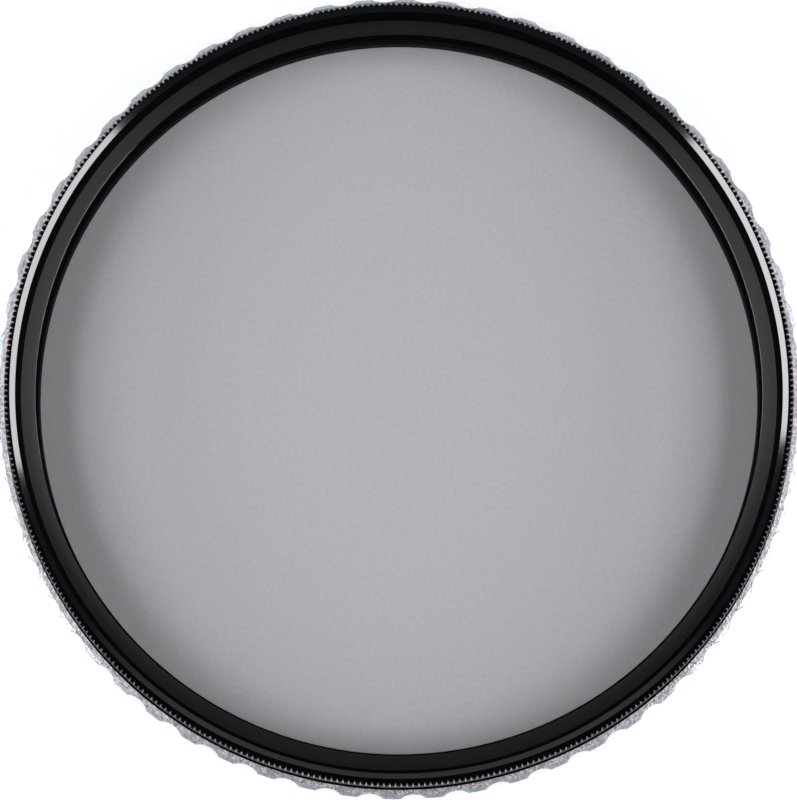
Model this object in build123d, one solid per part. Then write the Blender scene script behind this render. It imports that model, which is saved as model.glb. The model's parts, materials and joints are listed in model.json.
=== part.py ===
"""Rotating screw-in polarising filter: a mount ring, a turning ring and a cemented glass sandwich.

Millimetres, +Z towards the subject. The rear of the lens thread lies at z = 0, on the axis.
"""

import os
from math import cos, pi, sin

from build123d import *

# Filter thread, the same at the rear (male) and at the front (female)
thread_diameter = 77.0
thread_pitch = 0.75
lens_thread_length = 2.2
lens_thread_start = 0.4
relief_width = 0.35
front_thread_depth = 2.75

# Mount ring: what screws into the lens
mount_wall = 1.6
mount_edge_break = 0.2
recess_floor_thickness = 0.6
recess_depth = 1.8
grip_wall = 2.25
grip_top_chamfer = 0.4
grip_lower_chamfer = 0.2
scallop_count = 60
scallop_radius = 2.1
scallop_depth = 0.45
scallop_start_degrees = 2.1

# Turning ring: what the fingers rotate
flange_width = 1.6
flange_thickness = 0.7
flange_chamfer = 0.2
skirt_wall = 0.9
skirt_edge_break = 0.15
rim_height = 0.55
rim_overhang = 0.1
rim_chamfer = 0.2
knurl_teeth = 428
knurl_depth = 0.4
knurl_shoulder = 0.35
lead_in_margin = 0.37
lip_land = 0.08
lip_height = 1.8

# Cemented glass sandwich and the threaded ring that holds it from behind
glass_overlap = 1.1
glass_thickness = 0.8
film_thickness = 0.12
retainer_width = 0.95
retainer_height = 0.85
retainer_setback = 0.11
retainer_chamfer = 0.25
spanner_slot_width = 1.2
spanner_slot_depth = 0.4

# Split spring ring of flat wire that lies half in each ring and keeps them together
snap_ring_width = 0.5
snap_ring_height = 0.4
snap_ring_opening_degrees = 12.0

# Clearances
ring_clearance = 0.1
axial_clearance = 0.15
glass_clearance = 0.1
retainer_clearance = 0.05
snap_seat_clearance = 0.03
snap_running_clearance = 0.1
relief_clearance = 0.05

# Radii of the metric thread: crest outside, and the two roots by the standard's share of the pitch
thread_radius = thread_diameter / 2
front_thread_radius = thread_radius - 0.5413 * thread_pitch
relief_radius = thread_radius - 0.6134 * thread_pitch - relief_clearance

# Radii of the turning ring's front, from the thread outwards
lead_in_radius = thread_radius + lead_in_margin
lip_radius = lead_in_radius + lip_land
knurl_root_radius = lip_radius + knurl_shoulder
knurl_crest_radius = knurl_root_radius + knurl_depth
rim_radius = knurl_crest_radius + rim_overhang

# Radii of the glass and of what runs around it, from the flange's opening outwards
flange_opening = front_thread_radius - flange_width
glass_radius = flange_opening + glass_overlap
seat_radius = glass_radius + glass_clearance
retainer_radius = seat_radius - retainer_clearance
skirt_radius = seat_radius + skirt_wall
recess_radius = skirt_radius + ring_clearance
grip_radius = recess_radius + grip_wall
lens_opening = thread_radius - mount_wall
snap_inner_radius = skirt_radius + (ring_clearance - snap_ring_width) / 2
snap_outer_radius = snap_inner_radius + snap_ring_width

# Heights of the mount ring, from the rear up
grip_bottom = lens_thread_length
recess_floor = grip_bottom + recess_floor_thickness
grip_top = recess_floor + recess_depth
snap_bottom = (recess_floor + grip_top - snap_ring_height) / 2
snap_top = snap_bottom + snap_ring_height

# Heights inside the turning ring, from the end of its skirt up to the front edge
skirt_bottom = recess_floor + axial_clearance
retainer_bottom = skirt_bottom + retainer_setback
glass_bottom = retainer_bottom + retainer_height
flange_bottom = glass_bottom + 2 * glass_thickness + 2 * film_thickness
flange_top = flange_bottom + flange_thickness
front = flange_top + front_thread_depth

# Heights outside the turning ring: the knurl fills what the rim and the lip leave
rim_bottom = grip_top + axial_clearance
rim_top = rim_bottom + rim_height
knurl_top = front - lip_height


def turned(*points, degrees=360):
    """Revolve a closed outline of (radius, height) points about the optical axis."""
    outline = Polyline(*[(radius, 0, height) for radius, height in points], close=True)
    return revolve(make_face(outline), Axis.Z, degrees)


def disc(radius, bottom, thickness):
    """A flat round plate that stands on the given height."""
    return Pos(0, 0, bottom) * extrude(Circle(radius), thickness)


def mount_ring():
    """Lens thread, recess for the turning ring and scalloped grip, turned in one piece."""
    groove = snap_outer_radius + snap_seat_clearance
    groove_top = snap_top + snap_seat_clearance
    groove_bottom = snap_bottom - snap_seat_clearance
    body = turned(
        (lens_opening, 0),
        (thread_radius - lens_thread_start, 0),
        (thread_radius, lens_thread_start),
        (thread_radius, grip_bottom - relief_width),
        (relief_radius, grip_bottom - relief_width),
        (relief_radius, grip_bottom),
        (grip_radius - grip_lower_chamfer, grip_bottom),
        (grip_radius, grip_bottom + grip_lower_chamfer),
        (grip_radius, grip_top - grip_top_chamfer),
        (grip_radius - grip_top_chamfer, grip_top),
        (recess_radius + mount_edge_break, grip_top),
        (recess_radius, grip_top - mount_edge_break),
        (recess_radius, groove_top),
        (groove, groove_top),
        (groove, groove_bottom),
        (recess_radius, groove_bottom),
        (recess_radius, recess_floor),
        (lens_opening + mount_edge_break, recess_floor),
        (lens_opening, recess_floor - mount_edge_break),
    )
    # Finger scallops: the cutter sinks in by the scallop's depth at each place
    circle = grip_radius - scallop_depth + scallop_radius
    places = PolarLocations(circle, scallop_count, start_angle=scallop_start_degrees)
    cutter = disc(scallop_radius, grip_bottom, grip_top - grip_bottom)
    return body - [place * cutter for place in places]


def knurl():
    """A band of straight V teeth, drawn as one zigzag outline, extruded and sunk into the lip's wall."""
    step = pi / knurl_teeth
    radii = [knurl_crest_radius, knurl_root_radius] * knurl_teeth
    zigzag = [(radius * cos(i * step), radius * sin(i * step)) for i, radius in enumerate(radii)]
    band = make_face(Polyline(*zigzag, close=True)) - Circle(lead_in_radius)
    return Pos(0, 0, rim_top) * extrude(band, knurl_top - rim_top)


def turning_ring():
    """Skirt, plain rim, knurl, lip with the front thread, and the flange in front of the glass."""
    groove = snap_inner_radius - snap_running_clearance
    groove_top = snap_top + snap_running_clearance
    groove_bottom = snap_bottom - snap_running_clearance
    body = turned(
        (seat_radius, skirt_bottom),
        (skirt_radius - skirt_edge_break, skirt_bottom),
        (skirt_radius, skirt_bottom + skirt_edge_break),
        (skirt_radius, groove_bottom),
        (groove, groove_bottom),
        (groove, groove_top),
        (skirt_radius, groove_top),
        (skirt_radius, rim_bottom),
        (rim_radius - rim_chamfer, rim_bottom),
        (rim_radius, rim_bottom + rim_chamfer),
        (rim_radius, rim_top),
        (lip_radius, rim_top),
        (lip_radius, front),
        (lead_in_radius, front),
        (front_thread_radius, front - (lead_in_radius - front_thread_radius)),
        (front_thread_radius, flange_top),
        (flange_opening + flange_chamfer, flange_top),
        (flange_opening, flange_top - flange_chamfer),
        (flange_opening, flange_bottom),
        (seat_radius, flange_bottom),
    )
    return body + knurl()


def glass_sandwich():
    """The four cemented layers behind the flange, rear first, by name."""
    layers = {
        "rear_glass": glass_thickness,
        "quarter_wave_film": film_thickness,
        "polarising_film": film_thickness,
        "front_glass": glass_thickness,
    }
    solids = {}
    bottom = glass_bottom
    for name, thickness in layers.items():
        solids[name] = disc(glass_radius, bottom, thickness)
        bottom += thickness
    return solids


def glass_retaining_ring():
    """Thin threaded ring that presses the glass forward, with two slots for a spanner."""
    opening = retainer_radius - retainer_width
    body = turned(
        (opening + retainer_chamfer, retainer_bottom),
        (retainer_radius, retainer_bottom),
        (retainer_radius, glass_bottom),
        (opening, glass_bottom),
        (opening, retainer_bottom + retainer_chamfer),
    )
    slots = Box(4 * retainer_radius, spanner_slot_width, 2 * spanner_slot_depth)
    return body - Pos(0, 0, retainer_bottom) * slots


def snap_ring():
    """Flat spring wire bent to an open circle."""
    return turned(
        (snap_inner_radius, snap_bottom),
        (snap_outer_radius, snap_bottom),
        (snap_outer_radius, snap_top),
        (snap_inner_radius, snap_top),
        degrees=360 - snap_ring_opening_degrees,
    )


pieces = glass_sandwich()
pieces["mount_ring"] = mount_ring()
pieces["snap_ring"] = snap_ring()
pieces["turning_ring"] = turning_ring()
pieces["glass_retaining_ring"] = glass_retaining_ring()

os.makedirs("parts", exist_ok=True)
for name, shape in pieces.items():
    export_step(shape, f"parts/{name}.step")
    print(name, len(shape.solids()), "solid", round(shape.volume, 1), "mm3")
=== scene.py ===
# %% [markdown]
# # A rotating screw-in lens filter
# A polarising filter has two rings. The rear one screws into the lens and keeps still, and the
# front one turns on it with the glass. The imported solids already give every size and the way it
# moves, so this lesson loads them first and then dresses each ring with what a solid leaves out:
# threads, knurl ends, broken edges and finishes. Lengths here are in millimetres, and MM turns them
# into Blender's metres.

# %% Load the solids
import json
import bpy
import numpy as np
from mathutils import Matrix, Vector


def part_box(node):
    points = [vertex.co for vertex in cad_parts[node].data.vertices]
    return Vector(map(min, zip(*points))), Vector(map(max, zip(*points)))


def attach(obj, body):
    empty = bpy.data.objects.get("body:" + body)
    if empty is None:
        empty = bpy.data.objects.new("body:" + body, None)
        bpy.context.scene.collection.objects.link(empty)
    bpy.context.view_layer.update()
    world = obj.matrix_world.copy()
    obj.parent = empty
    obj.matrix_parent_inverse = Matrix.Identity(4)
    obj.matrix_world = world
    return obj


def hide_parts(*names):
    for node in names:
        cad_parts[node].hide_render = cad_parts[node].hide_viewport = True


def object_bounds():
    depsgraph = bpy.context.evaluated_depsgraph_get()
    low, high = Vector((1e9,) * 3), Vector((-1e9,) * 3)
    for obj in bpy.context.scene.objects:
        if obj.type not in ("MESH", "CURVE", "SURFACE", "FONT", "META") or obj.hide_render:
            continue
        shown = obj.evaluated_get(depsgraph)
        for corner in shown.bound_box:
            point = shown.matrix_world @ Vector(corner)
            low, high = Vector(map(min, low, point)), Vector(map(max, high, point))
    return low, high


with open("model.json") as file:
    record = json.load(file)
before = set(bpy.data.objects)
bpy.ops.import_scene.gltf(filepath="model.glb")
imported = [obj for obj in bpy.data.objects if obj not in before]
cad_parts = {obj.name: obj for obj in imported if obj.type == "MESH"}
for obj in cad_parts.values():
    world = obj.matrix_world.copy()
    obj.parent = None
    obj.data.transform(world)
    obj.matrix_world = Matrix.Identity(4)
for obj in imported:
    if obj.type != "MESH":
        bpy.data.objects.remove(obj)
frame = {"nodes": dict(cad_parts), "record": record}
cad_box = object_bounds()
MM = 0.001
print("nodes:", sorted(frame["nodes"]))
print("box in mm:", [round(c / MM, 2) for corner in cad_box for c in corner])

# %% [markdown]
# ## Sizes from the solids
# Each ring's place is read from the box of its node and from the mounts in the record, so the
# visible pieces cannot drift away from the solids. Only what a box does not show, such as the pitch
# of the thread or the number of teeth, is written down again.

# %% Read heights and radii
mounts = {mount["name"]: mount for mount in frame["record"]["mounts"]}
low_corner = {name: np.array(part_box(name)[0]) / MM for name in frame["nodes"]}
high_corner = {name: np.array(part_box(name)[1]) / MM for name in frame["nodes"]}
X, Z = 0, 2
grip_radius = high_corner["mount_ring"][X]
grip_top = high_corner["mount_ring"][Z]
skirt_bottom = low_corner["turning_ring"][Z]
rim_radius = high_corner["turning_ring"][X]
front = high_corner["turning_ring"][Z]
glass_radius = high_corner["front_glass"][X]
glass_bottom = low_corner["rear_glass"][Z]
flange_bottom = high_corner["front_glass"][Z]
retainer_radius = high_corner["glass_retaining_ring"][X]
retainer_bottom = low_corner["glass_retaining_ring"][Z]
thread_radius = mounts["lens_thread"]["dims"]["r_mm"]
front_thread_radius = mounts["front_thread"]["dims"]["r_mm"]
thread_pitch = 0.75
print("front", round(front, 2), "rim", round(rim_radius, 2), "glass", round(glass_radius, 2))
print("thread radius", thread_radius, "outside,", front_thread_radius, "inside")

# %% [markdown]
# ## A ring as rows of points
# A turned ring is an outline carried around an axis. A screw modifier could do that, but then every
# row would have the same columns, and here the knurl needs four columns for each tooth while a
# plain wall needs few. So a ring is drawn in sections. Each section is a grid of points, rows along
# the outline and columns around the axis, and where two sections meet, fans of triangles sew the
# fine row to the coarse one.


# %% Rows of points, and the faces between two rows
def ring_grid(radius, height, angle):
    """Points (radius * cos(angle), radius * sin(angle), height), from millimetres to metres."""
    radius, height, angle = np.broadcast_arrays(radius, height, angle)
    return np.stack([radius * np.cos(angle), radius * np.sin(angle), height], axis=-1) * MM


def outline_rows(*points):
    """Columns of radii and heights from (radius, height) points, one row each, for turned walls."""
    points = np.array(points, float)
    return points[:, :1], points[:, 1:]


def sew(first, second):
    """Faces between two rows of point numbers: quads where the rows match, else fans of triangles.

    With k fine columns for a coarse one, the first half of the fine edges goes to the coarse corner
    on the left, the second half to the one on the right, and one triangle closes the middle.
    """
    if len(first) == len(second):
        quads = np.stack([first, np.roll(first, -1), np.roll(second, -1), second], axis=1)
        return quads, np.zeros((0, 3), int)
    fine, coarse = (first, second) if len(first) > len(second) else (second, first)
    k = len(fine) // len(coarse)
    left = np.repeat(coarse, k)
    right = np.repeat(np.roll(coarse, -1), k)
    near = np.where(np.arange(len(fine)) % k < k // 2, left, right)
    sides = np.stack([fine, np.roll(fine, -1), near], axis=1)
    middles = np.stack([fine[k // 2 :: k], np.roll(coarse, -1), coarse], axis=1)
    triangles = np.concatenate([sides, middles])
    return np.zeros((0, 4), int), triangles if fine is first else triangles[:, ::-1]


print("sewing 8 columns to 4 takes", len(sew(np.arange(8), np.arange(8, 12))[1]), "triangles")

# %% [markdown]
# ## From rows to a mesh
# The sections are joined in order, the last one back to the first, so the skin closes on itself.
# The outline runs up the outside and down the inside, which makes every face point outwards. The UV
# map holds the length along the outline and the turn around the axis, because a lathe leaves its
# marks along the second one. Faces that meet at less than 28 degrees are shaded as one curve, and
# any larger angle stays a crisp edge.

# %% The skin of a ring
sharp_angle = np.radians(28)
uv_length = 100


def add_piece(name, mesh, finishes):
    """Shades a mesh, gives it its finishes and puts it into the scene."""
    mesh.shade_smooth()
    mesh.set_sharp_from_angle(angle=sharp_angle)
    for finish in finishes:
        mesh.materials.append(finish)
    piece = bpy.data.objects.new(name, mesh)
    bpy.context.scene.collection.objects.link(piece)
    return piece


def unwrap(values, period):
    """Values at face corners that run on over the seam.

    One that is more than half a period below the highest of its face gets a period added.
    """
    return values + period * (values < values.max(axis=1, keepdims=True) - period / 2)


def lay_out(mesh, points, rows, *kinds):
    """UV map: u along the outline, one unit for uv_length, and v around the axis, one a turn."""
    firsts = points[[row[0] for row in rows]]
    steps = np.linalg.norm(np.roll(firsts, -1, axis=0) - firsts, axis=1)
    along = np.repeat(np.cumsum(steps) - steps, [len(row) for row in rows])
    around = np.arctan2(points[:, 1], points[:, 0]) / (2 * np.pi) % 1
    places = []
    for faces in kinds:
        u = unwrap(along[faces], steps.sum()) / MM / uv_length
        v = unwrap(around[faces], 1)
        places.append(np.stack([u, v], axis=-1).reshape(-1, 2))
    layer = mesh.uv_layers.new(name="outline")
    layer.uv.foreach_set("vector", np.concatenate(places).astype(np.float32).ravel())


def ring_skin(name, sections, finishes):
    """A closed ring from sections (grid, finish of each row up to the next), sewn end to end.

    The finish may be one number, one for each row, or one for each row and column.
    """
    points = np.concatenate([grid.reshape(-1, 3) for grid, _ in sections])
    rows, marks, start = [], [], 0
    for grid, finish in sections:
        shape = grid.shape[:2]
        count = shape[0] * shape[1]
        finish = np.array(finish)
        rows.extend(start + np.arange(count).reshape(shape))
        marks.extend(np.broadcast_to(finish[:, None] if finish.ndim == 1 else finish, shape))
        start += count
    faces = [sew(row, rows[(i + 1) % len(rows)]) for i, row in enumerate(rows)]
    quads = np.concatenate([quad for quad, _ in faces])
    triangles = np.concatenate([triangle for _, triangle in faces])
    mesh = bpy.data.meshes.new(name)
    mesh.from_pydata(points, [], quads.tolist() + triangles.tolist())
    quad_marks = [mark[: len(quad)] for mark, (quad, _) in zip(marks, faces)]
    fan_marks = [np.full(len(triangle), mark[0]) for mark, (_, triangle) in zip(marks, faces)]
    slots = np.concatenate(quad_marks + fan_marks).astype(np.int32)
    mesh.polygons.foreach_set("material_index", slots)
    lay_out(mesh, points, rows, quads, triangles)
    print(name, 2 * len(quads) + len(triangles), "triangles")
    return add_piece(name, mesh, finishes)


# %% [markdown]
# ## Colours and nodes
# Colours are written as sRGB hex values, as one reads them from a screen, and one function turns
# them into the linear values that a shader adds up. Another one adds a node with its settings and
# with what goes into its sockets, which keeps every material below readable as a list.


# %% Helpers for materials
def linear(hex_colour):
    """sRGB hex to linear RGBA: the low end divided by 12.92, the rest by the 2.4 power curve."""
    srgb = np.array([int(hex_colour[i : i + 2], 16) for i in (1, 3, 5)]) / 255
    rgb = np.where(srgb <= 0.04045, srgb / 12.92, ((srgb + 0.055) / 1.055) ** 2.4)
    return (*rgb.tolist(), 1.0)


def new_material(name):
    """An empty node material, and its tree."""
    material = bpy.data.materials.new(name)
    material.use_nodes = True
    material.node_tree.nodes.clear()
    return material, material.node_tree


def add(tree, kind, inputs=(), **settings):
    """A node with its settings, and a value or another node's output in each socket of inputs."""
    node = tree.nodes.new(kind)
    for key, value in settings.items():
        setattr(node, key, value)
    for socket, value in dict(inputs).items():
        if isinstance(value, bpy.types.NodeSocket):
            tree.links.new(value, node.inputs[socket])
        else:
            node.inputs[socket].default_value = value
    return node


# Numbers of the mix node's sockets for colours, since those for numbers share their names
DARK, LIGHT, MIXED = 6, 7, 2
print("mid grey is", [round(c, 3) for c in linear("#808080")[:3]])

# %% [markdown]
# ## Black anodised aluminium, turned
# Anodising grows a clear hard oxide on the aluminium, and black dye fills its pores. What the eye
# sees is a black glaze of a high index over the fine spiral that the lathe tool left. The spiral
# spreads a highlight across the marks and hardly along them, so the flange is light towards the
# lamps at the sides and nearly black where it faces none. Anisotropy with the tangent along the
# outline gives that without drawing each mark. The marks are about 0.03 mm apart on a real ring,
# and they are drawn at 0.15 mm to show at all.

# %% Black anodised finishes
mark_spacing = 0.15
changes_in_a_turn = 6
oxide_index = 1.65


def black_anodised(name, roughness, anisotropy, mark_depth):
    """Dyed oxide over tool marks: near-black, with waves of noise across the outline."""
    material, tree = new_material(name)
    place = add(tree, "ShaderNodeUVMap", uv_map="outline").outputs["UV"]
    # Across the outline the noise has the marks' spacing, and around the axis it hardly changes
    scale = (uv_length / mark_spacing, changes_in_a_turn, 1)
    stretch = add(tree, "ShaderNodeMapping", {"Vector": place, "Scale": scale})
    noise = {"Vector": stretch.outputs["Vector"], "Scale": 1.0, "Detail": 2.0}
    marks = add(tree, "ShaderNodeTexNoise", noise).outputs["Fac"]
    dyes = {"Factor": marks, DARK: linear("#08090b"), LIGHT: linear("#0f1013")}
    dye = add(tree, "ShaderNodeMix", dyes, data_type="RGBA")
    ends = {"Value": marks, "To Min": roughness * 0.9, "To Max": roughness * 1.1}
    gloss = add(tree, "ShaderNodeMapRange", ends)
    relief = {"Height": marks, "Strength": 1.0, "Distance": mark_depth * MM}
    bump = add(tree, "ShaderNodeBump", relief)
    tangent = add(tree, "ShaderNodeTangent", direction_type="UV_MAP", uv_map="outline")
    inputs = {
        "Base Color": dye.outputs[MIXED],
        "Roughness": gloss.outputs["Result"],
        "Normal": bump.outputs["Normal"],
        "Tangent": tangent.outputs["Tangent"],
        "IOR": oxide_index,
        "Anisotropic": anisotropy,
    }
    shader = add(tree, "ShaderNodeBsdfPrincipled", inputs)
    add(tree, "ShaderNodeOutputMaterial", {"Surface": shader.outputs["BSDF"]})
    return material


black_turned = black_anodised("black anodised aluminium, turned", 0.32, 0.85, 0.0006)
black_chamfer = black_anodised("black anodised aluminium, fine turned chamfer", 0.13, 0.5, 0.0002)
black_knurled = black_anodised("black anodised aluminium, knurled", 0.20, 0.0, 0.0006)
for finish in (black_turned, black_chamfer, black_knurled):
    print("finish:", finish.name)

# %% [markdown]
# ## Clear anodised aluminium, bead-blasted, and a blackened bore
# The grip of the rear ring is blasted with glass beads before it is anodised without dye. Thousands
# of tiny craters break up the reflection, so the metal looks pale, grainy and a little sparkling.
# Each crater is about 0.08 mm wide. At that size a pixel would average them away, so they are drawn
# at 0.17 mm. The chamfer is cut after blasting, which leaves it smoother and colder in tone.
# Inside, where stray light would harm a picture, such rings are blackened with matt lacquer. At the
# rear end of the bore the same lacquer gets a dim sheen, a painted sheen for the light that the
# floor throws up there.

# %% Bead-blasted grip and blackened bore
crater_width = 0.17
crater_depth = 0.11 * crater_width
lacquer_grain = 0.12
lacquer_depth = 0.1 * lacquer_grain


def bead_blasted(name, dark, light, roughness):
    """Metal with a field of round cells: distance gives the relief, chance the tint and gloss."""
    material, tree = new_material(name)
    place = add(tree, "ShaderNodeTexCoord").outputs["Object"]
    scale = 1 / (crater_width * MM)
    cells = add(tree, "ShaderNodeTexVoronoi", {"Vector": place, "Scale": scale}).outputs
    tints = {"Factor": cells["Color"], DARK: linear(dark), LIGHT: linear(light)}
    tint = add(tree, "ShaderNodeMix", tints, data_type="RGBA")
    ends = {"Value": cells["Color"], "To Min": roughness * 0.8, "To Max": roughness * 1.2}
    gloss = add(tree, "ShaderNodeMapRange", ends)
    relief = {"Height": cells["Distance"], "Strength": 1.0, "Distance": crater_depth * MM}
    bump = add(tree, "ShaderNodeBump", relief)
    inputs = {
        "Base Color": tint.outputs[MIXED],
        "Roughness": gloss.outputs["Result"],
        "Normal": bump.outputs["Normal"],
        "Metallic": 1.0,
    }
    shader = add(tree, "ShaderNodeBsdfPrincipled", inputs)
    add(tree, "ShaderNodeOutputMaterial", {"Surface": shader.outputs["BSDF"]})
    return material


def matt_lacquer(name, sheen):
    """Matt black paint: a rough, finely grained skin that mirrors as little as sheen says."""
    material, tree = new_material(name)
    place = add(tree, "ShaderNodeTexCoord").outputs["Object"]
    noise = {"Vector": place, "Scale": 1 / (lacquer_grain * MM), "Detail": 2.0}
    skin = add(tree, "ShaderNodeTexNoise", noise).outputs["Fac"]
    tints = {"Factor": skin, DARK: linear("#030303"), LIGHT: linear("#070708")}
    tint = add(tree, "ShaderNodeMix", tints, data_type="RGBA")
    relief = {"Height": skin, "Strength": 1.0, "Distance": lacquer_depth * MM}
    bump = add(tree, "ShaderNodeBump", relief)
    inputs = {
        "Base Color": tint.outputs[MIXED],
        "Normal": bump.outputs["Normal"],
        "Roughness": 0.6,
        "Specular IOR Level": sheen,
    }
    shader = add(tree, "ShaderNodeBsdfPrincipled", inputs)
    add(tree, "ShaderNodeOutputMaterial", {"Surface": shader.outputs["BSDF"]})
    return material


clear_blasted = bead_blasted("clear anodised aluminium, bead-blasted", "#8f888e", "#ece6ec", 0.42)
clear_cut = bead_blasted(
    "clear anodised aluminium, chamfer cut after blasting", "#949da5", "#b6bfc8", 0.3
)
# Painted highlight: pale metal for the lit facets in the knurl's grooves
groove_painted_highlight = bead_blasted("aluminium, worn bare on the knurl", "#b0b1b6", "#d0d2d7", 0.35)
black_lacquer = matt_lacquer("matt black lacquer, sprayed", 0.004)
# Painted sheen: a lit copy of the lacquer for the bore's rear end
lacquer_painted_sheen = matt_lacquer("matt black lacquer, sprayed thinly", 0.08)
for finish in (clear_blasted, clear_cut, groove_painted_highlight, black_lacquer, lacquer_painted_sheen):
    print("finish:", finish.name)

# %% [markdown]
# ## The outline of a metric thread
# Both threads are 0.75 mm fine threads. Seen along the axis, the profile is a 60 degree zigzag with
# a flat of an eighth of the pitch at its outer end and a quarter at its inner end. A right-hand
# helix climbs one pitch in each turn, so the place in the profile is height / pitch - angle / turn.
# A swept curve would need a seam at its ends, but a radius that depends on angle and height closes
# by itself.

# %% Thread profile
outer_flat_end = 1 / 16
inner_flat_start = 3 / 8
outer_depth = 0.6134 * thread_pitch
inner_depth = thread_radius - front_thread_radius
rows_per_pitch = 16


def thread_height(height, angle):
    """Share of the thread's depth: 1 on the outer flat, 0 on the inner flat, straight flanks."""
    place = height / thread_pitch - angle / (2 * np.pi)
    off_centre = np.abs((place + 0.5) % 1 - 0.5)
    return np.clip((inner_flat_start - off_centre) / (inner_flat_start - outer_flat_end), 0, 1)


print("thread depth outside", round(outer_depth, 3), "inside", round(inner_depth, 3))

# %% [markdown]
# ## The turning ring, outside
# The front ring is turned from bar. Its lower end is a plain skirt with a groove for the snap ring.
# Above it comes a plain rim, and then a knurl of 428 straight teeth for the fingers. The knurling
# wheel stops short of the rim, and a small cone is left where the grooves run out. Its outer half
# is drawn in pale bare aluminium between the dark tooth ends, a painted highlight for the light
# that those facets catch. The upper ends of the teeth are chamfered, and show a small dim facet
# each. Four columns draw a tooth, two for its crest and two for its root.

# %% Skirt, rim and knurl
knurl_teeth = 428
knurl_depth = 0.4
tooth_chamfer = 0.12
rim_overhang = 0.1
rim_height = 0.55
rim_chamfer = 0.2
rim_break = 0.03
axial_clearance = 0.15
glass_clearance = 0.1
lip_height = 1.8
recess_depth = 1.8
skirt_wall = 0.9
skirt_break = 0.15
groove_depth = 0.3
groove_half = 0.3
rim_bottom = grip_top + axial_clearance
rim_top = rim_bottom + rim_height
knurl_top = front - lip_height
crest_radius = rim_radius - rim_overhang
root_radius = crest_radius - knurl_depth
seat_radius = glass_radius + glass_clearance
skirt_radius = seat_radius + skirt_wall
groove_radius = skirt_radius - groove_depth
groove_middle = grip_top - recess_depth / 2

# Columns of a tooth as shares of the spacing: both ends of the crest, then both ends of the root
tooth_columns = np.array([-0.27, 0.27, 0.46, 0.54])
on_crest = np.tile([1, 1, 0, 0], knurl_teeth)
tooth = 2 * np.pi / knurl_teeth
fine_angle = (np.arange(knurl_teeth)[:, None] + tooth_columns).ravel() * tooth
plain_angle = fine_angle[:: len(tooth_columns)]

skirt = ring_grid(
    *outline_rows(
        (seat_radius, skirt_bottom),
        (skirt_radius - skirt_break, skirt_bottom),
        (skirt_radius, skirt_bottom + skirt_break),
        (skirt_radius, groove_middle - groove_half),
        (groove_radius, groove_middle - groove_half),
        (groove_radius, groove_middle + groove_half),
        (skirt_radius, groove_middle + groove_half),
        (skirt_radius, rim_bottom),
        (rim_radius - rim_chamfer, rim_bottom),
        (rim_radius, rim_bottom + rim_chamfer),
        (rim_radius, rim_top - rim_break),
    ),
    plain_angle,
)
# The cone of the run-out falls by one millimetre of radius for each cone_rise of height
cone_rise = 2.1
inwards = np.array([0, rim_overhang, rim_overhang + knurl_depth / 2, rim_overhang + knurl_depth])
tooth_end = [knurl_top - tooth_chamfer, knurl_top, knurl_top]
knurl_height = np.concatenate([rim_top + cone_rise * inwards, tooth_end])
cone = np.maximum(rim_radius - (knurl_height - rim_top) / cone_rise, root_radius)
largest = [rim_radius - rim_break] + [crest_radius] * 4
largest = np.array(largest + [crest_radius - tooth_chamfer, root_radius])
tooth_radius = root_radius + knurl_depth * on_crest
knurl_radius = np.minimum(np.maximum(tooth_radius, cone[:, None]), largest[:, None])
knurl = ring_grid(knurl_radius, knurl_height[:, None], fine_angle)
print("tooth spacing", round(crest_radius * tooth, 3), "mm")
print("knurl height", round(knurl_top - rim_top, 2), "mm")

# %% [markdown]
# ## The turning ring, inside
# A thin lip stands in front of the glass and carries the thread for a cap or a second filter. Its
# mouth is opened by a 45 degree chamfer, so that a thread finds its way in. This chamfer is the
# brightest line of the filter, because it mirrors the lamps beside it. Below it the thread grows
# out of the wall within one turn, and at its other end it fills up again. Behind the thread lies
# the flange that the glass is seated against. It is dished by eight degrees towards the glass, and
# so it looks across the ring at the lamp on the far side.

# %% Lip, thread and flange
broken = 0.02
lead_in_margin = 0.37
lip_land = 0.08
front_thread_depth = 2.75
mouth_inset = 0.12
mouth_wall = 0.1
thread_foot = 0.05
flange_width = 1.6
flange_inset = 0.01
flange_dish = np.radians(8)
flange_chamfer = 0.2
flange_break = 0.03
flange_edge = 0.1
lead_in_radius = thread_radius + lead_in_margin
lip_radius = lead_in_radius + lip_land
flange_top = front - front_thread_depth
flange_opening = front_thread_radius - flange_width

lip = ring_grid(
    *outline_rows(
        (lip_radius, knurl_top),
        (lip_radius, front - broken),
        (lip_radius - broken, front),
        (lead_in_radius, front),
    ),
    plain_angle,
)
thread_rows = int((front - flange_top) / thread_pitch * rows_per_pitch)
thread_start = front - (lead_in_radius - thread_radius + mouth_inset)
thread_levels = np.linspace(thread_start, flange_top + thread_foot, thread_rows)[:, None]
run_in = np.clip((thread_start - mouth_wall - thread_levels) / thread_pitch, 0, 1)
run_out = np.clip((thread_levels - flange_top) / thread_pitch, 0, 1)
filled = 1 - run_out * thread_height(thread_levels, plain_angle)
inset = np.maximum(inner_depth * run_in * filled, mouth_inset * (1 - run_in))
front_thread = ring_grid(thread_radius - inset, thread_levels, plain_angle)

dish_width = front_thread_radius - flange_opening - flange_chamfer
dish_bottom = flange_top - np.tan(flange_dish) * dish_width
flange = ring_grid(
    *outline_rows(
        (front_thread_radius - flange_inset, flange_top),
        (flange_opening + flange_chamfer, dish_bottom),
        (flange_opening + flange_chamfer - flange_break, dish_bottom - flange_break),
        (flange_opening, flange_bottom + flange_edge),
        (flange_opening, flange_bottom + broken),
        (flange_opening + broken, flange_bottom),
        (seat_radius, flange_bottom),
    ),
    plain_angle,
)
print("thread in", thread_rows, "rows, flange dished to", round(dish_bottom, 3), "mm")
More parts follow.
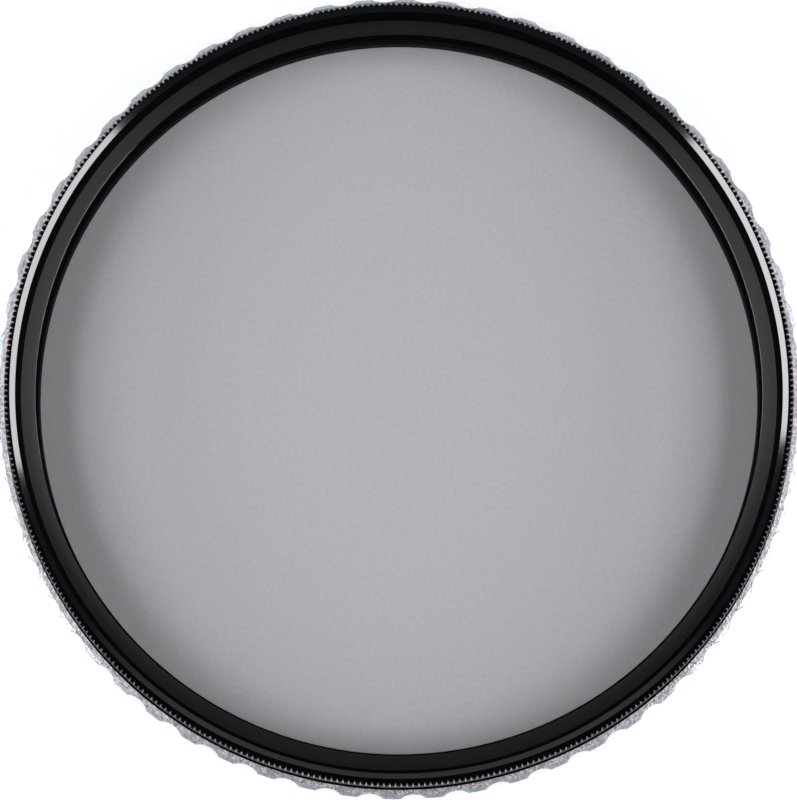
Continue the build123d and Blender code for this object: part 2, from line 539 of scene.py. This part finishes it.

# %% [markdown]
# ## The turning ring, sewn together
# Each row of the outline has its finish. On the run-out cone the finish also changes around the
# ring: the first of a tooth's four faces is its crest, which stays black, and the other three are
# the groove, which is pale bare aluminium as a painted highlight.

# %% Finishes of the turning ring
TURNED, CHAMFER, KNURLED, PAINTED_HIGHLIGHT, LACQUERED = range(5)
highlight_row = 1
# The flat tooth tops and the shoulder at the lip's foot are black metal that takes matt black
# lacquer: painted shade, as dark as a deep gap
knurl_rows = np.array([KNURLED] * 5 + [LACQUERED] * 2)
knurl_finish = np.repeat(knurl_rows[:, None], len(fine_angle), axis=1)
# The groove faces of this row are pale bare aluminium, a painted highlight for the light their
# facets catch
knurl_finish[highlight_row] = np.tile([KNURLED, PAINTED_HIGHLIGHT, PAINTED_HIGHLIGHT, PAINTED_HIGHLIGHT], knurl_teeth)
turning_ring = ring_skin(
    "turning_ring_dressed",
    [
        (skirt, TURNED),
        (knurl, knurl_finish),
        (lip, [TURNED] + [LACQUERED] * 2 + [CHAMFER]),
        (front_thread, LACQUERED),
        (flange, [TURNED, CHAMFER] + [LACQUERED] * 4 + [TURNED]),
    ],
    [black_turned, black_chamfer, black_knurled, groove_painted_highlight, black_lacquer],
)
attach(turning_ring, "rotor")
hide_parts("turning_ring")

# %% [markdown]
# ## The mount ring
# The rear ring screws into the lens. Its grip is a coin edge with 60 round scallops, milled with
# the side of a cutter: across a scallop the radius follows the cutter's circle, and elsewhere the
# plain rim. The columns are spaced so that some fall exactly on the scallops' ends, which keeps
# those edges crisp. The smaller of that radius and the chamfer's cone gives the crescent where a
# scallop cuts the chamfer.

# %% Scalloped columns
scallop_count = 60
scallop_radius = 2.1
scallop_depth = 0.45
scallop_start = np.radians(2.1)
scallop_columns = 14
land_columns = 10
coarse_step = 3
spacing = 2 * np.pi / scallop_count
cutter_circle = grip_radius - scallop_depth + scallop_radius
# The law of cosines gives the angle where the cutter leaves the rim
meeting = grip_radius**2 + cutter_circle**2 - scallop_radius**2
scallop_end = np.arccos(meeting / (2 * grip_radius * cutter_circle))

across_scallop = np.linspace(-scallop_end, scallop_end, scallop_columns + 1)[:-1]
across_land = np.linspace(scallop_end, spacing - scallop_end, land_columns + 1)[:-1]
across = np.concatenate([across_scallop, across_land])
starts = scallop_start + spacing * np.arange(scallop_count)
grip_angle = (starts[:, None] + across).ravel()
coarse_angle = grip_angle[::coarse_step]
inside = np.maximum(scallop_radius**2 - (cutter_circle * np.sin(across)) ** 2, 0)
cut = cutter_circle * np.cos(across) - np.sqrt(inside)
in_scallop = np.abs(across) <= scallop_end
scalloped = np.where(in_scallop, np.minimum(cut, grip_radius), grip_radius)
scalloped = np.tile(scalloped, scallop_count)
print("scallop", round(2 * grip_radius * np.sin(scallop_end), 2), "mm wide")
print("notch radius", round(scalloped.min(), 3), "mm")

# %% [markdown]
# ## The mount ring, sewn together
# Below the grip is the male thread, with a small chamfer at its start and a plain relief at its
# end. Inside are the recess that the front ring runs in, with its half of the snap ring's groove,
# and the blackened bore. Around the recess a narrow step keeps the grip's pale face away from the
# front ring. Its wall and floor take the bore's matt black lacquer, a painted shade that deepens
# the gap's own shadow into the thin dark line between the two.

# %% Thread, grip and recess
mount_wall = 1.6
grip_bottom = 2.2
floor_thickness = 0.6
mount_break = 0.2
ring_clearance = 0.1
thread_chamfer = 0.4
first_level = 0.01
relief_width = 0.35
relief_edge = 0.05
relief_clearance = 0.05
lower_chamfer = 0.2
top_chamfer = 0.4
chamfer_rows = 6
face_below = 1.2
face_above = 0.6
step_gap = 0.22
step_depth = 0.25
mount_groove = 0.23
# Height up to which the bore has the painted sheen
painted_sheen_top = 1.35
lens_opening = thread_radius - mount_wall
recess_floor = grip_bottom + floor_thickness
recess_radius = skirt_radius + ring_clearance
relief_radius = thread_radius - outer_depth - relief_clearance
relief_bottom = grip_bottom - relief_width
step_radius = rim_radius + step_gap
step_bottom = grip_top - step_depth

base_edge = thread_radius - thread_chamfer
base = ring_grid(*outline_rows((lens_opening + broken, 0), (base_edge, 0)), coarse_angle)
lens_rows = int(relief_bottom / thread_pitch * rows_per_pitch)
lens_levels = np.linspace(first_level, relief_bottom, lens_rows)[:, None]
lens_wall = thread_radius - outer_depth * (1 - thread_height(lens_levels, coarse_angle))
lens_thread = ring_grid(np.minimum(lens_wall, base_edge + lens_levels), lens_levels, coarse_angle)
relief = ring_grid(
    *outline_rows(
        (relief_radius, relief_bottom + relief_edge),
        (relief_radius, grip_bottom),
        (grip_radius - face_below, grip_bottom),
    ),
    coarse_angle,
)
chamfer_levels = np.linspace(grip_top - top_chamfer, grip_top, chamfer_rows)
chamfer_radii = np.linspace(grip_radius, grip_radius - top_chamfer, chamfer_rows)
grip_height = np.array([grip_bottom, grip_bottom + lower_chamfer, *chamfer_levels])
grip_cone = np.array([grip_radius - lower_chamfer, grip_radius, *chamfer_radii])
grip = ring_grid(np.minimum(scalloped, grip_cone[:, None]), grip_height[:, None], grip_angle)
recess = ring_grid(
    *outline_rows(
        (grip_radius - face_above, grip_top),
        # The step takes the bore's matt black, painted shade for the gap beside the front ring
        (step_radius + broken, grip_top),
        (step_radius, grip_top - broken),
        (step_radius, step_bottom),
        (recess_radius + mount_break, step_bottom),
        (recess_radius, step_bottom - mount_break),
        (recess_radius, groove_middle + mount_groove),
        (recess_radius + mount_groove, groove_middle + mount_groove),
        (recess_radius + mount_groove, groove_middle - mount_groove),
        (recess_radius, groove_middle - mount_groove),
        (recess_radius, recess_floor),
        (lens_opening + mount_break, recess_floor),
        (lens_opening, recess_floor - mount_break),
        (lens_opening, painted_sheen_top),
        (lens_opening, broken),
    ),
    coarse_angle,
)
BLASTED, CUT, BLACKENED, PAINTED_SHEEN = range(4)
mount_ring = ring_skin(
    "mount_ring_dressed",
    [
        (base, BLASTED),
        (lens_thread, BLASTED),
        (relief, BLASTED),
        (grip, [BLASTED] * 2 + [CUT] * 5 + [BLASTED]),
        # The last two rows of the bore have the painted sheen
        (recess, [BLASTED] * 2 + [BLACKENED] * 11 + [PAINTED_SHEEN] * 2),
    ],
    [clear_blasted, clear_cut, black_lacquer, lacquer_painted_sheen],
)
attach(mount_ring, "mount")
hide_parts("mount_ring")

# %% [markdown]
# ## The glass
# Two thin glasses hold the polarising film and the retarder film between them, cemented into one
# plate, so it is drawn as one. A polariser takes more than half of the light, evenly over all
# colours, and its coating removes nearly all reflection. True refraction would leave the floor
# behind it dark, because light paths rarely find their way through two bent surfaces, so the plate
# is clear by alpha: each face holds back a share, and more of it for light that comes at a slant.
# Light that returns from the floor has passed both faces twice, and less than half of it is left.

# %% Grey coated glass
held_straight = 0.2
held_aslant = 0.5
slant_start = 0.35
slant_end = 0.75


def coated_glass(name):
    """Neutral film behind coated glass: dark, mostly see-through, denser and bluer at a slant."""
    material, tree = new_material(name)
    slant = add(tree, "ShaderNodeLayerWeight", {"Blend": 0.5}).outputs["Facing"]
    ends = {"From Min": slant_start, "From Max": slant_end}
    shares = {"To Min": held_straight, "To Max": held_aslant}
    held = add(tree, "ShaderNodeMapRange", {"Value": slant, **ends, **shares})
    dyes = {"Factor": slant, DARK: linear("#0c0d0e"), LIGHT: linear("#12151c")}
    dye = add(tree, "ShaderNodeMix", dyes, data_type="RGBA")
    # A coated face mirrors about a tenth of what bare glass does, and what is left looks green
    inputs = {
        "Base Color": dye.outputs[MIXED],
        "Alpha": held.outputs["Result"],
        "Roughness": 0.03,
        "Specular IOR Level": 0.06,
        "Specular Tint": linear("#cfe8dc"),
    }
    shader = add(tree, "ShaderNodeBsdfPrincipled", inputs)
    add(tree, "ShaderNodeOutputMaterial", {"Surface": shader.outputs["BSDF"]})
    return material


grey_glass = coated_glass("coated glass with grey polarising film")
print("straight down and back up,", round((1 - held_straight) ** 4, 2), "of the light is left")

# %% [markdown]
# ## Closing a disc
# A plate has no hole, so its skin may not run back to its start as a ring's does. Its two faces are
# each closed by one flat polygon in the middle, and the rows between them are sewn as before. The
# edge of the glass is ground at 45 degrees against chipping.


# %% The skin of a plate
def plate_skin(name, grid, finish):
    """A closed disc: rows of quads up the edge, and a flat polygon over the last and first row."""
    rows = np.arange(grid[..., 0].size).reshape(grid.shape[:2])
    quads = np.concatenate([sew(rows[i], rows[i + 1])[0] for i in range(len(rows) - 1)])
    caps = [rows[-1].tolist(), rows[0][::-1].tolist()]
    mesh = bpy.data.meshes.new(name)
    mesh.from_pydata(grid.reshape(-1, 3), [], quads.tolist() + caps)
    print(name, 2 * len(quads) + 2 * len(rows[0]) - 4, "triangles")
    return add_piece(name, mesh, [finish])


ground = 0.15
cap_radius = 0.4
glass_angle = np.arange(360) * np.pi / 180
plate = ring_grid(
    *outline_rows(
        (cap_radius, glass_bottom),
        (glass_radius - ground, glass_bottom),
        (glass_radius, glass_bottom + ground),
        (glass_radius, flange_bottom - ground),
        (glass_radius - ground, flange_bottom),
        (cap_radius, flange_bottom),
    ),
    glass_angle,
)
glass = plate_skin("glass_sandwich_dressed", plate, grey_glass)
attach(glass, "rotor")
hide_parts("front_glass", "polarising_film", "quarter_wave_film", "rear_glass")
print("glass", round(flange_bottom - glass_bottom, 2), "mm thick")

# %% [markdown]
# ## The glass retaining ring
# From behind, a thin threaded ring presses the glass against the flange. Two slots let a spanner
# turn it. Its columns are placed so that a pair of them falls on each side of a slot, and there the
# lower face steps up by the depth of the slot.

# %% Retaining ring with two slots
retainer_width = 0.95
retainer_chamfer = 0.25
slot_width = 1.2
slot_depth = 0.4
slot_columns = np.array([-1.0, -0.98, 0.98, 1.0])
between_slots = 180
retainer_opening = retainer_radius - retainer_width
slot_half = np.arcsin(slot_width / 2 / retainer_radius)
around_slot = slot_columns * slot_half
beside_slot = np.linspace(slot_half, np.pi - slot_half, between_slots + 2)[1:-1]
half_turn = np.concatenate([around_slot, beside_slot])
retainer_angle = np.concatenate([half_turn, half_turn + np.pi])
in_slot = np.isin(np.arange(len(retainer_angle)) % len(half_turn), [1, 2])

lower_face = retainer_bottom + slot_depth * in_slot
upper_face = np.full(len(lower_face), glass_bottom)
outer_radii = [retainer_opening + retainer_chamfer, retainer_radius - broken]
outer_radii = np.array(outer_radii + [retainer_radius] * 2)
outer_levels = np.stack([lower_face, lower_face, lower_face + broken, upper_face])
outer_half = ring_grid(outer_radii[:, None], outer_levels, retainer_angle)
chamfer_end = np.maximum(lower_face, retainer_bottom + retainer_chamfer)
inner_half = ring_grid(retainer_opening, np.stack([upper_face, chamfer_end]), retainer_angle)
retaining_ring = ring_skin(
    "glass_retaining_ring_dressed", [(outer_half, 0), (inner_half, 0)], [black_lacquer]
)
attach(retaining_ring, "rotor")
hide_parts("glass_retaining_ring")

# %% [markdown]
# ## The snap ring
# The split spring ring sits hidden between the two rings, half in each groove. Its solid is already
# right, so it stays, and gets the finish of drawn spring wire: bright steel with fine streaks along
# its length.

# %% Spring steel for the snap ring
streak_width = 0.08
streak_stretch = (0.1, 0.1, 1)


def spring_steel(name):
    """Drawn steel: grey metal, with noise in tint and roughness at the width of a streak."""
    material, tree = new_material(name)
    place = add(tree, "ShaderNodeTexCoord").outputs["Object"]
    flat = add(tree, "ShaderNodeMapping", {"Vector": place, "Scale": streak_stretch})
    scale = 1 / (streak_width * MM)
    noise = {"Vector": flat.outputs["Vector"], "Scale": scale, "Detail": 2.0}
    streaks = add(tree, "ShaderNodeTexNoise", noise).outputs["Fac"]
    tints = {"Factor": streaks, DARK: linear("#8e8f92"), LIGHT: linear("#b4b5b8")}
    tint = add(tree, "ShaderNodeMix", tints, data_type="RGBA")
    ends = {"Value": streaks, "To Min": 0.22, "To Max": 0.4}
    gloss = add(tree, "ShaderNodeMapRange", ends)
    inputs = {
        "Base Color": tint.outputs[MIXED],
        "Roughness": gloss.outputs["Result"],
        "Metallic": 1.0,
    }
    shader = add(tree, "ShaderNodeBsdfPrincipled", inputs)
    add(tree, "ShaderNodeOutputMaterial", {"Surface": shader.outputs["BSDF"]})
    return material


steel = spring_steel("spring steel, drawn")
snap_ring = frame["nodes"]["snap_ring"]
snap_ring.data.materials.clear()
snap_ring.data.materials.append(steel)
print("snap ring in", steel.name)

# %% [markdown]
# ## White paper
# The filter lies on a large sheet of matt white paper, whose pulp varies a little in tone. For rays
# from the camera and from mirroring metal, a part of the sheet's shader is plain white, which lifts
# the background without any more light on the filter, and the rest keeps the shadow. A ray that
# came through the glass sees the paper alone, so the glass stays as grey as it is.

# %% Matt white paper
pulp_size = 0.4
white_share = 0.6


def white_paper(name):
    """Matt paper that mixes in plain white where the camera or a mirror looks straight at it."""
    material, tree = new_material(name)
    place = add(tree, "ShaderNodeTexCoord").outputs["Object"]
    noise = {"Vector": place, "Scale": 1 / (pulp_size * MM), "Detail": 0.0}
    pulp = add(tree, "ShaderNodeTexNoise", noise).outputs["Fac"]
    tints = {"Factor": pulp, DARK: linear("#ecedf0"), LIGHT: linear("#fafbfe")}
    tint = add(tree, "ShaderNodeMix", tints, data_type="RGBA")
    sheet = add(tree, "ShaderNodeBsdfDiffuse", {"Color": tint.outputs[MIXED]})
    white = add(tree, "ShaderNodeEmission", {"Color": linear("#ffffff")})
    path = add(tree, "ShaderNodeLightPath").outputs
    bounced = {0: path["Is Glossy Ray"], 1: path["Is Transmission Ray"]}
    mirror = add(tree, "ShaderNodeMath", bounced, operation="ADD")
    looks = {0: path["Is Camera Ray"], 1: mirror.outputs[0]}
    look = add(tree, "ShaderNodeMath", looks, operation="ADD")
    # The depth counts the see-through faces that a ray has passed, so below a half it met none
    faces = {0: path["Transparent Depth"], 1: 0.5}
    bare = add(tree, "ShaderNodeMath", faces, operation="LESS_THAN")
    both = {0: look.outputs[0], 1: bare.outputs[0]}
    seen = add(tree, "ShaderNodeMath", both, operation="MULTIPLY")
    part = {0: seen.outputs[0], 1: white_share}
    share = add(tree, "ShaderNodeMath", part, operation="MULTIPLY")
    mixed = {0: share.outputs[0], 1: sheet.outputs["BSDF"], 2: white.outputs["Emission"]}
    shader = add(tree, "ShaderNodeMixShader", mixed)
    add(tree, "ShaderNodeOutputMaterial", {"Surface": shader.outputs["Shader"]})
    return material


paper = white_paper("white paper, matt")
print("sheet of", paper.name)

# %% [markdown]
# ## Floor
# The sheet is one square face. It is large, so that it also fills a view from the side, and it lies
# a hundredth of a millimetre below the filter, so that no two faces share a plane and flicker.

# %% Floor
floor_half = 2000.0
floor_gap = 0.01
floor_z = cad_box[0].z - floor_gap * MM
floor_square = np.array([(-1, -1), (1, -1), (1, 1), (-1, 1)]) * floor_half * MM
floor_corners = [(x, y, floor_z) for x, y in floor_square.tolist()]
floor_mesh = bpy.data.meshes.new("floor")
floor_mesh.from_pydata(floor_corners, [], [(0, 1, 2, 3)])
floor_mesh.materials.append(paper)
floor = bpy.data.objects.new("floor", floor_mesh)
bpy.context.scene.collection.objects.link(floor)
print("floor at", floor_z)

# %% [markdown]
# ## Lamps
# Two lamps on each side light the filter. A low one stands just above the sheet, and the chamfer
# and the knurl mirror its lower part, while its upper part reaches over the rings and makes the
# soft shade under the glass's edge. A panel leans over the filter and lights the sheet under the
# glass and the flange across the ring. The power of a lamp is its radiance times pi times its area.
# Lengths in this cell are in metres.

# %% Two low lamps and two panels
lamp_colour = linear("#fcfdff")
low_reach = 0.45
low_middle = 0.135
low_height = 0.23
panel_place = (0.18, -0.02, 0.2)
panel_length = 0.245
panel_height = 0.13
panel_radiance = 5.2


def softbox(name, place, target, width, height, radiance):
    """A rectangular lamp at place, facing target, its power found from the radiance it shows."""
    lamp = bpy.data.lights.new(name, "AREA")
    lamp.shape = "RECTANGLE"
    lamp.size = width
    lamp.size_y = height
    lamp.energy = radiance * np.pi * width * height
    lamp.color = lamp_colour[:3]
    facing = Vector(target) - Vector(place)
    lamp_object = bpy.data.objects.new(name, lamp)
    lamp_object.location = place
    lamp_object.rotation_euler = facing.to_track_quat("-Z", "Y").to_euler()
    lamp_object.visible_camera = False
    bpy.context.scene.collection.objects.link(lamp_object)
    print(name, round(lamp.energy, 2), "W")


# Side, its sign, then the low lamp's length, its place along y and its radiance
sides = (("left", -1, 0.433, -0.09, 10.4), ("right", 1, 0.4975, -0.084, 9.5))
for side, sign, length, y, radiance in sides:
    low_place = (sign * low_reach, y, low_middle)
    low_target = (0, y, low_middle)
    softbox("low_strip_" + side, low_place, low_target, length, low_height, radiance)
    place = (sign * panel_place[0], *panel_place[1:])
    softbox("panel_" + side, place, (0, 0, 0), panel_length, panel_height, panel_radiance)

# %% [markdown]
# ## The room
# The room around the lamps is dark, apart from pale walls ahead and behind that glow near the
# horizon, and a faint fill from above that keeps the flange from turning black. A direction has
# length 1, so its z is the sine of its height above the horizon, and its y tells how far it points
# ahead or behind.

# %% A dim room
horizon_glow = 0.62
overhead_glow = 0.14
world = bpy.data.worlds.new("studio")
bpy.context.scene.world = world
world.use_nodes = True
sky = world.node_tree
sky.nodes.clear()
direction = add(sky, "ShaderNodeTexCoord").outputs["Generated"]
parts = add(sky, "ShaderNodeSeparateXYZ", {"Vector": direction}).outputs
ahead = add(sky, "ShaderNodeMath", {0: parts["Y"]}, operation="ABSOLUTE").outputs[0]
sockets = ("Value", "From Min", "From Max", "To Min", "To Max")
bands = (
    (parts["Z"], 0.04, 0.2, horizon_glow, 0.0),
    (ahead, 0.68, 0.9, 0.0, 1.0),
    (parts["Z"], 0.5, 0.9, 0.0, overhead_glow),
)
fades = [add(sky, "ShaderNodeMapRange", dict(zip(sockets, band))) for band in bands]
# The glow at the horizon times that of the walls, plus the one overhead
levels = {i: fade.outputs["Result"] for i, fade in enumerate(fades)}
glow = add(sky, "ShaderNodeMath", levels, operation="MULTIPLY_ADD").outputs[0]
backdrop = add(sky, "ShaderNodeBackground", {"Strength": glow, "Color": lamp_colour})
add(sky, "ShaderNodeOutputWorld", {"Surface": backdrop.outputs["Background"]})
print("room nodes:", len(sky.nodes))

# %% [markdown]
# ## Camera
# The photo looks down on the filter from close by, about seven degrees off the axis: the wall
# behind the flange shows at the top and not at the bottom. The distance follows from how much
# larger the front edge looks than the rear one. The picture is 797 by 800 pixels, and its height is
# the sensor's 36 mm.

# %% Camera at the photo's place
off_axis = np.radians(7.35)
distance = 281.0
focal_length = 126.27
pivot = Vector((0, 0, 8.2)) * MM
# The filter lies a little above the middle of the picture, so the camera aims beside its axis
aim = pivot + Vector((-0.04, -1.31, 0)) * MM
camera_place = pivot + Vector((0, -np.sin(off_axis), np.cos(off_axis))) * distance * MM
lens = bpy.data.cameras.new("camera")
lens.sensor_fit = "VERTICAL"
lens.sensor_height = 36.0
lens.lens = focal_length
lens.clip_start = 0.01
camera = bpy.data.objects.new("camera", lens)
camera.location = camera_place
camera.rotation_euler = (aim - camera_place).to_track_quat("-Z", "Y").to_euler()
bpy.context.scene.collection.objects.link(camera)
bpy.context.scene.camera = camera
bpy.context.scene.view_settings.view_transform = "Standard"
print("camera at", [round(c / MM, 1) for c in camera_place], "mm")
